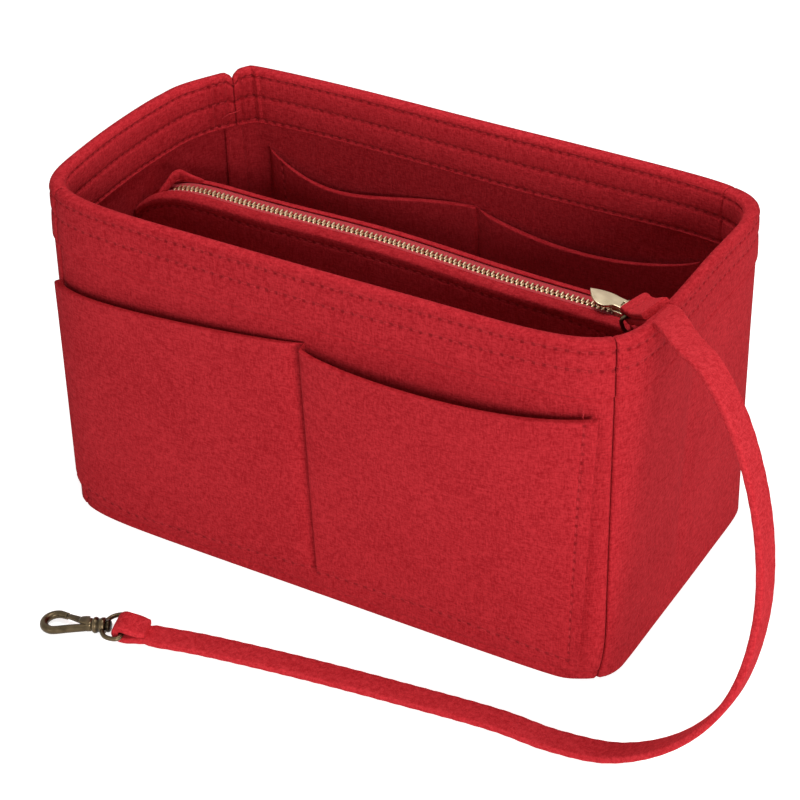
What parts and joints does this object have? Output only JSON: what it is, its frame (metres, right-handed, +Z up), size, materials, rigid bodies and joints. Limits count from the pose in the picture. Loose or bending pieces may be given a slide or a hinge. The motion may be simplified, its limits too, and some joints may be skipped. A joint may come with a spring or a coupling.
{
  "type": "purse organizer insert",
  "caption": "Open-top felt purse organizer insert with outer and inner patch pockets, a zipped pouch across the middle and a key strap ending in a swivel snap hook.",
  "frame": {"origin": "middle of the base panel's underside, on the floor", "axes": "+X along the length towards the strap end, +Y from the pocketed front to the back, +Z up"},
  "size_m": [0.3468, 0.2234, 0.1721],
  "materials": {
    "red_felt": "matte pressed felt",
    "zip_tape": "woven tape",
    "pale_gold": "satin pale gold plating",
    "antique_bronze": "antique bronze plating, rubbed bright at the edges"
  },
  "bodies": {
    "organizer": {"front_panel": "red_felt", "right_gusset": "red_felt", "back_panel": "red_felt", "left_gusset": "red_felt", "base_panel": "red_felt", "outer_pocket_panel": "red_felt", "inner_pocket_panel": "red_felt", "rear_seam_strip": "red_felt", "pouch_front_panel": "red_felt", "pouch_back_panel": "red_felt", "zip_strip_front": "red_felt", "zip_strip_back": "red_felt", "zip_end_tab": "red_felt", "ring_tab": "red_felt", "key_strap": "red_felt", "zip_tape_front": "zip_tape", "zip_tape_back": "zip_tape", "zip_teeth_front": "pale_gold", "zip_teeth_back": "pale_gold", "strap_ring": "antique_bronze"},
    "slider": {"zip_slider": "pale_gold"},
    "pull": {"pull_tab": "pale_gold"},
    "swivel": {"swivel_eye": "antique_bronze"},
    "hook": {"hook_body": "antique_bronze", "gate_pin": "antique_bronze"},
    "gate": {"gate_lever": "antique_bronze"}
  },
  "joints": [
    {"name": "zip_travel", "type": "slide", "parent": "organizer", "child": "slider", "axis": [0.9998, -0.0201, 0], "range_m": [-0.193, 0]},
    {"name": "pull_lift", "type": "hinge", "parent": "slider", "child": "pull", "pos_m": [0.10188, 0.00096, 0.1357], "axis": [0.0201, 0.9998, 0], "range_deg": [0, 80]},
    {"name": "clasp_lift", "type": "hinge", "parent": "organizer", "child": "swivel", "pos_m": [-0.06138, -0.132, 0.0048], "axis": [-0.2969, 0.9549, 0], "range_deg": [0, 75]},
    {"name": "clasp_swivel", "type": "hinge", "parent": "swivel", "child": "hook", "pos_m": [-0.06138, -0.132, 0.0048], "axis": [-0.9527, -0.2962, -0.0681], "continuous": true},
    {"name": "gate_press", "type": "hinge", "parent": "hook", "child": "gate", "pos_m": [-0.07881, -0.13575, 0.00359], "axis": [-0.065, -0.0202, 0.9977], "range_deg": [0, 25], "stiffness_Nm_per_rad": 0.02, "springref_deg": -8.59}
  ]
}
